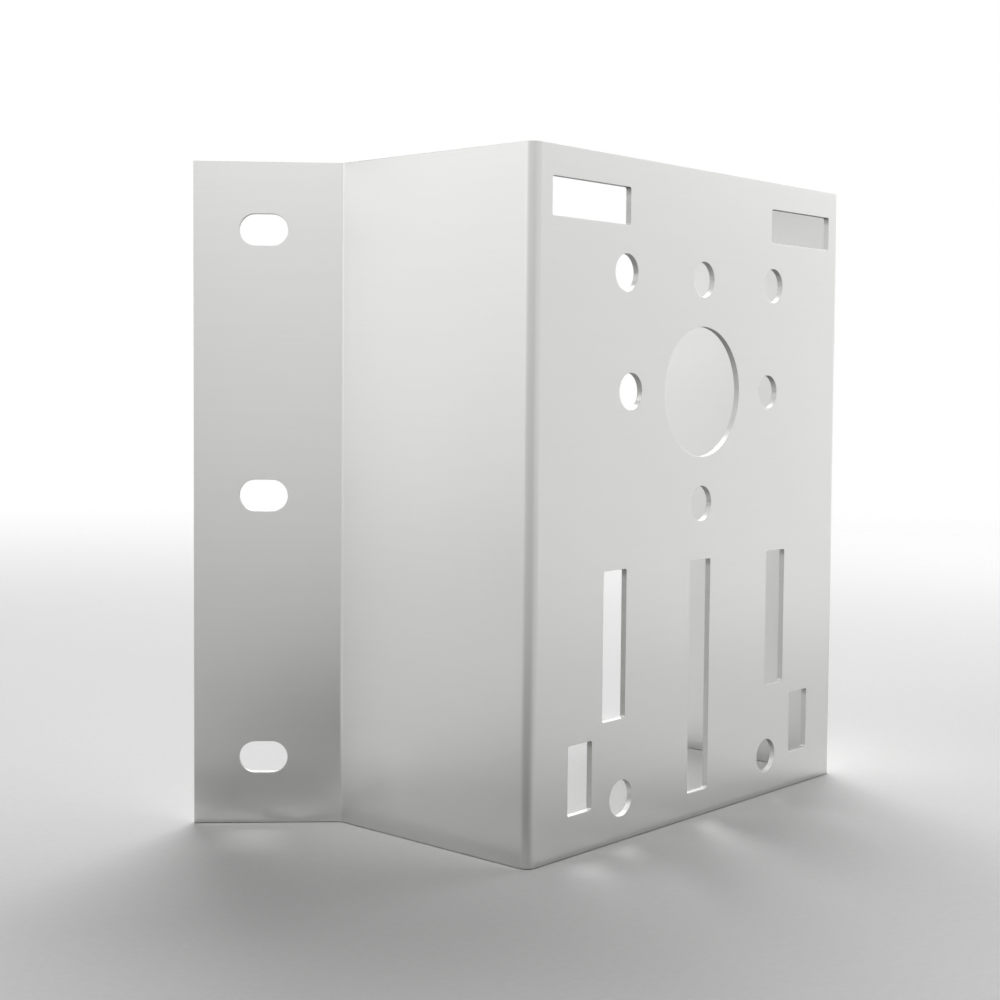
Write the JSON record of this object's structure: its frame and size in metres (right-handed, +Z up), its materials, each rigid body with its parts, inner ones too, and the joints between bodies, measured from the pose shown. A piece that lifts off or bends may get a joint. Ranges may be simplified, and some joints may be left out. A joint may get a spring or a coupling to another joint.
{
  "type": "camera corner mount bracket",
  "caption": "Folded steel bracket that straddles an outside wall corner: a drilled and slotted front plate on two side webs, with angled wall flanges.",
  "frame": {"origin": "centre of the bracket's footprint, level with its lower edges", "axes": "+Z up; -Y is the way the front plate faces; +Y points to the wall corner; the bracket is the same on both sides of the X = 0 plane"},
  "size_m": [0.2472, 0.119, 0.22],
  "materials": {
    "satin_steel": "satin stainless steel with a fine level grain"
  },
  "bodies": {
    "root": {"corner_bracket": "satin_steel"}
  },
  "joints": []
}
